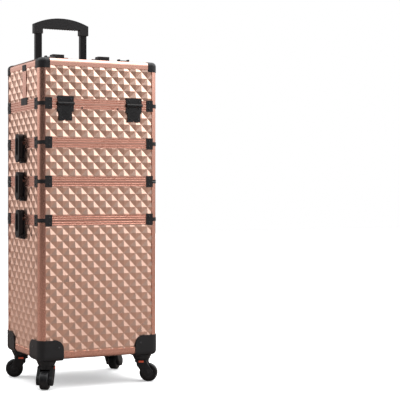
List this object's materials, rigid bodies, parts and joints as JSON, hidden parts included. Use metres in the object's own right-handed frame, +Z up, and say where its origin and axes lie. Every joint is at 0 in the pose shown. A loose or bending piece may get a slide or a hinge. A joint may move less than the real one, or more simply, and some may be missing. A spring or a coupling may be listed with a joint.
{
  "type": "makeup train case",
  "caption": "Wheeled stacking makeup train case in rose gold: trolley case, lift-off cases, split-lid top case with cantilever trays and telescopic handle.",
  "frame": {"origin": "on the floor under the centre of the whole bounding box", "axes": "+Z up, -Y is the front, +X is to the right seen from the front"},
  "size_m": [0.388, 0.2964, 1.044],
  "materials": {
    "foil_board": "board faced with embossed metallic rose gold foil",
    "rose_aluminium": "satin anodised rose gold",
    "black_metal": "black powder coat",
    "black_tube": "black anodised",
    "black_plastic": "moulded, fine grain",
    "wheel_rubber": "smooth",
    "bar_steel": "brushed",
    "tray_fabric": "board covered in black fabric"
  },
  "bodies": {
    "trolley": {"trolley_panels": "foil_board", "trolley_frame": "rose_aluminium", "trolley_clips": "black_metal", "corner_housings": "black_plastic", "trolley_latch_bases": "black_metal", "handle_outer_tubes": "black_tube", "handle_brackets": "black_plastic"},
    "lower_case": {"lower_case_panels": "foil_board", "lower_case_frame": "rose_aluminium", "lower_case_clips": "black_metal", "lower_case_latch_parts": "black_metal"},
    "middle_case": {"middle_case_panels": "foil_board", "middle_case_frame": "rose_aluminium", "middle_case_clips": "black_metal", "middle_case_latch_parts": "black_metal"},
    "top_case": {"top_case_panels": "foil_board", "top_case_frame": "rose_aluminium", "top_case_clips": "black_metal", "top_case_keepers": "black_metal", "hinge_base_leaves": "black_metal", "tray_studs": "bar_steel"},
    "front_lid": {"front_lid_panels": "foil_board", "front_lid_frame": "rose_aluminium", "front_lid_corners": "black_metal", "front_lid_hinge_leaves": "black_metal", "lid_latch_bases": "black_metal"},
    "back_lid": {"back_lid_panels": "foil_board", "back_lid_frame": "rose_aluminium", "back_lid_corners": "black_metal", "back_lid_hinge_leaves": "black_metal", "back_lid_fittings": "black_metal"},
    "carry_handle": {"carry_handle": "black_plastic"},
    "handle_middle_stage": {"handle_middle_tubes": "black_tube"},
    "handle_upper_stage": {"handle_inner_tubes": "black_tube", "handle_grip": "black_plastic"},
    "handle_button": {"handle_button": "black_plastic"},
    "divider_tray": {"divider_tray": "tray_fabric"},
    "left_lid_latch": {"left_lid_latch": "black_metal"},
    "right_lid_latch": {"right_lid_latch": "black_metal"},
    "left_lower_latch": {"left_lower_latch": "black_metal"},
    "left_middle_latch": {"left_middle_latch": "black_metal"},
    "left_upper_latch": {"left_upper_latch": "black_metal"},
    "right_lower_latch": {"right_lower_latch": "black_metal"},
    "right_middle_latch": {"right_middle_latch": "black_metal"},
    "right_upper_latch": {"right_upper_latch": "black_metal"},
    "front_left_fork": {"front_left_fork": "black_plastic"},
    "front_left_wheel": {"front_left_wheel": "wheel_rubber"},
    "front_right_fork": {"front_right_fork": "black_plastic"},
    "front_right_wheel": {"front_right_wheel": "wheel_rubber"},
    "back_left_fork": {"back_left_fork": "black_plastic"},
    "back_left_wheel": {"back_left_wheel": "wheel_rubber"},
    "back_right_fork": {"back_right_fork": "black_plastic"},
    "back_right_wheel": {"back_right_wheel": "wheel_rubber"},
    "left_long_bars": {"left_long_bars": "bar_steel"},
    "left_lower_tray": {"left_lower_tray": "tray_fabric"},
    "left_upper_tray": {"left_upper_tray": "tray_fabric"},
    "right_long_bars": {"right_long_bars": "bar_steel"},
    "right_lower_tray": {"right_lower_tray": "tray_fabric"},
    "right_upper_tray": {"right_upper_tray": "tray_fabric"}
  },
  "joints": [
    {"name": "lower_case_lift", "type": "slide", "parent": "trolley", "child": "lower_case", "axis": [0, 0, 1], "range_m": [0, 0.12]},
    {"name": "middle_case_lift", "type": "slide", "parent": "lower_case", "child": "middle_case", "axis": [0, 0, 1], "range_m": [0, 0.12]},
    {"name": "top_case_lift", "type": "slide", "parent": "middle_case", "child": "top_case", "axis": [0, 0, 1], "range_m": [0, 0.12]},
    {"name": "divider_tray_lift", "type": "slide", "parent": "middle_case", "child": "divider_tray", "axis": [0, 0, 1], "range_m": [0, 0.035]},
    {"name": "front_lid_hinge", "type": "hinge", "parent": "top_case", "child": "front_lid", "pos_m": [0, -0.14425, 0.77], "axis": [1, 0, 0], "range_deg": [0, 90]},
    {"name": "back_lid_hinge", "type": "hinge", "parent": "top_case", "child": "back_lid", "pos_m": [0, 0.12275, 0.77], "axis": [-1, 0, 0], "range_deg": [0, 0.7]},
    {"name": "carry_handle_pivot", "type": "hinge", "parent": "back_lid", "child": "carry_handle", "pos_m": [0, -0.00375, 0.903], "axis": [1, 0, 0], "range_deg": [0, 90]},
    {"name": "left_lid_latch_pivot", "type": "hinge", "parent": "front_lid", "child": "left_lid_latch", "pos_m": [-0.112, -0.05575, 0.9], "axis": [1, 0, 0], "range_deg": [0, 100]},
    {"name": "right_lid_latch_pivot", "type": "hinge", "parent": "front_lid", "child": "right_lid_latch", "pos_m": [0.112, -0.05575, 0.9], "axis": [1, 0, 0], "range_deg": [0, 100]},
    {"name": "left_lower_latch_pivot", "type": "hinge", "parent": "trolley", "child": "left_lower_latch", "pos_m": [-0.1865, -0.01075, 0.409], "axis": [0, -1, 0], "range_deg": [0, 95]},
    {"name": "left_middle_latch_pivot", "type": "hinge", "parent": "lower_case", "child": "left_middle_latch", "pos_m": [-0.1865, -0.01075, 0.514], "axis": [0, -1, 0], "range_deg": [0, 95]},
    {"name": "left_upper_latch_pivot", "type": "hinge", "parent": "middle_case", "child": "left_upper_latch", "pos_m": [-0.1865, -0.01075, 0.619], "axis": [0, -1, 0], "range_deg": [0, 95]},
    {"name": "right_lower_latch_pivot", "type": "hinge", "parent": "trolley", "child": "right_lower_latch", "pos_m": [0.1865, -0.01075, 0.409], "axis": [0, 1, 0], "range_deg": [0, 95]},
    {"name": "right_middle_latch_pivot", "type": "hinge", "parent": "lower_case", "child": "right_middle_latch", "pos_m": [0.1865, -0.01075, 0.514], "axis": [0, 1, 0], "range_deg": [0, 95]},
    {"name": "right_upper_latch_pivot", "type": "hinge", "parent": "middle_case", "child": "right_upper_latch", "pos_m": [0.1865, -0.01075, 0.619], "axis": [0, 1, 0], "range_deg": [0, 95]},
    {"name": "handle_middle_slide", "type": "slide", "parent": "trolley", "child": "handle_middle_stage", "axis": [0, 0, 1], "range_m": [-0.28, 0]},
    {"name": "handle_upper_slide", "type": "slide", "parent": "handle_middle_stage", "child": "handle_upper_stage", "axis": [0, 0, 1], "range_m": [-0.26, 0]},
    {"name": "handle_button_press", "type": "slide", "parent": "handle_upper_stage", "child": "handle_button", "axis": [0, 0, -1], "range_m": [0, 0.003]},
    {"name": "front_left_swivel", "type": "hinge", "parent": "trolley", "child": "front_left_fork", "pos_m": [-0.145, -0.10675, 0.06], "axis": [0, 0, 1], "continuous": true},
    {"name": "front_left_wheel_spin", "type": "hinge", "parent": "front_left_fork", "child": "front_left_wheel", "pos_m": [-0.1559, -0.12231, 0.025], "axis": [0.8192, -0.5736, 0], "continuous": true},
    {"name": "front_right_swivel", "type": "hinge", "parent": "trolley", "child": "front_right_fork", "pos_m": [0.145, -0.10675, 0.06], "axis": [0, 0, 1], "continuous": true},
    {"name": "front_right_wheel_spin", "type": "hinge", "parent": "front_right_fork", "child": "front_right_wheel", "pos_m": [0.16111, -0.11682, 0.025], "axis": [0.5299, 0.848, 0], "continuous": true},
    {"name": "back_left_swivel", "type": "hinge", "parent": "trolley", "child": "back_left_fork", "pos_m": [-0.145, 0.08525, 0.06], "axis": [0, 0, 1], "continuous": true},
    {"name": "back_left_wheel_spin", "type": "hinge", "parent": "back_left_fork", "child": "back_left_wheel", "pos_m": [-0.16262, 0.09237, 0.025], "axis": [-0.3746, -0.9272, 0], "continuous": true},
    {"name": "back_right_swivel", "type": "hinge", "parent": "trolley", "child": "back_right_fork", "pos_m": [0.145, 0.08525, 0.06], "axis": [0, 0, 1], "continuous": true},
    {"name": "back_right_wheel_spin", "type": "hinge", "parent": "back_right_fork", "child": "back_right_wheel", "pos_m": [0.15912, 0.09796, 0.025], "axis": [-0.6691, 0.7431, 0], "continuous": true},
    {"name": "left_bars_swing", "type": "hinge", "parent": "top_case", "child": "left_long_bars", "pos_m": [-0.12851, -0.01075, 0.68995], "axis": [0, -1, 0], "range_deg": [0, 16]},
    {"name": "left_lower_tray_level", "type": "hinge", "parent": "left_long_bars", "child": "left_lower_tray", "pos_m": [-0.072, -0.01075, 0.72], "axis": [0, -1, 0], "range_deg": [-16, 0]},
    {"name": "left_upper_tray_level", "type": "hinge", "parent": "left_long_bars", "child": "left_upper_tray", "pos_m": [-0.01549, -0.01075, 0.75005], "axis": [0, -1, 0], "range_deg": [-16, 0]},
    {"name": "right_bars_swing", "type": "hinge", "parent": "top_case", "child": "right_long_bars", "pos_m": [0.12851, -0.01075, 0.68995], "axis": [0, 1, 0], "range_deg": [0, 16]},
    {"name": "right_lower_tray_level", "type": "hinge", "parent": "right_long_bars", "child": "right_lower_tray", "pos_m": [0.072, -0.01075, 0.72], "axis": [0, 1, 0], "range_deg": [-16, 0]},
    {"name": "right_upper_tray_level", "type": "hinge", "parent": "right_long_bars", "child": "right_upper_tray", "pos_m": [0.01549, -0.01075, 0.75005], "axis": [0, 1, 0], "range_deg": [-16, 0]}
  ],
  "couplings": [
    {"joint": "left_lower_tray_level", "follows": "left_bars_swing", "ratio": -1},
    {"joint": "left_upper_tray_level", "follows": "left_bars_swing", "ratio": -1},
    {"joint": "right_lower_tray_level", "follows": "right_bars_swing", "ratio": -1},
    {"joint": "right_upper_tray_level", "follows": "right_bars_swing", "ratio": -1}
  ]
}
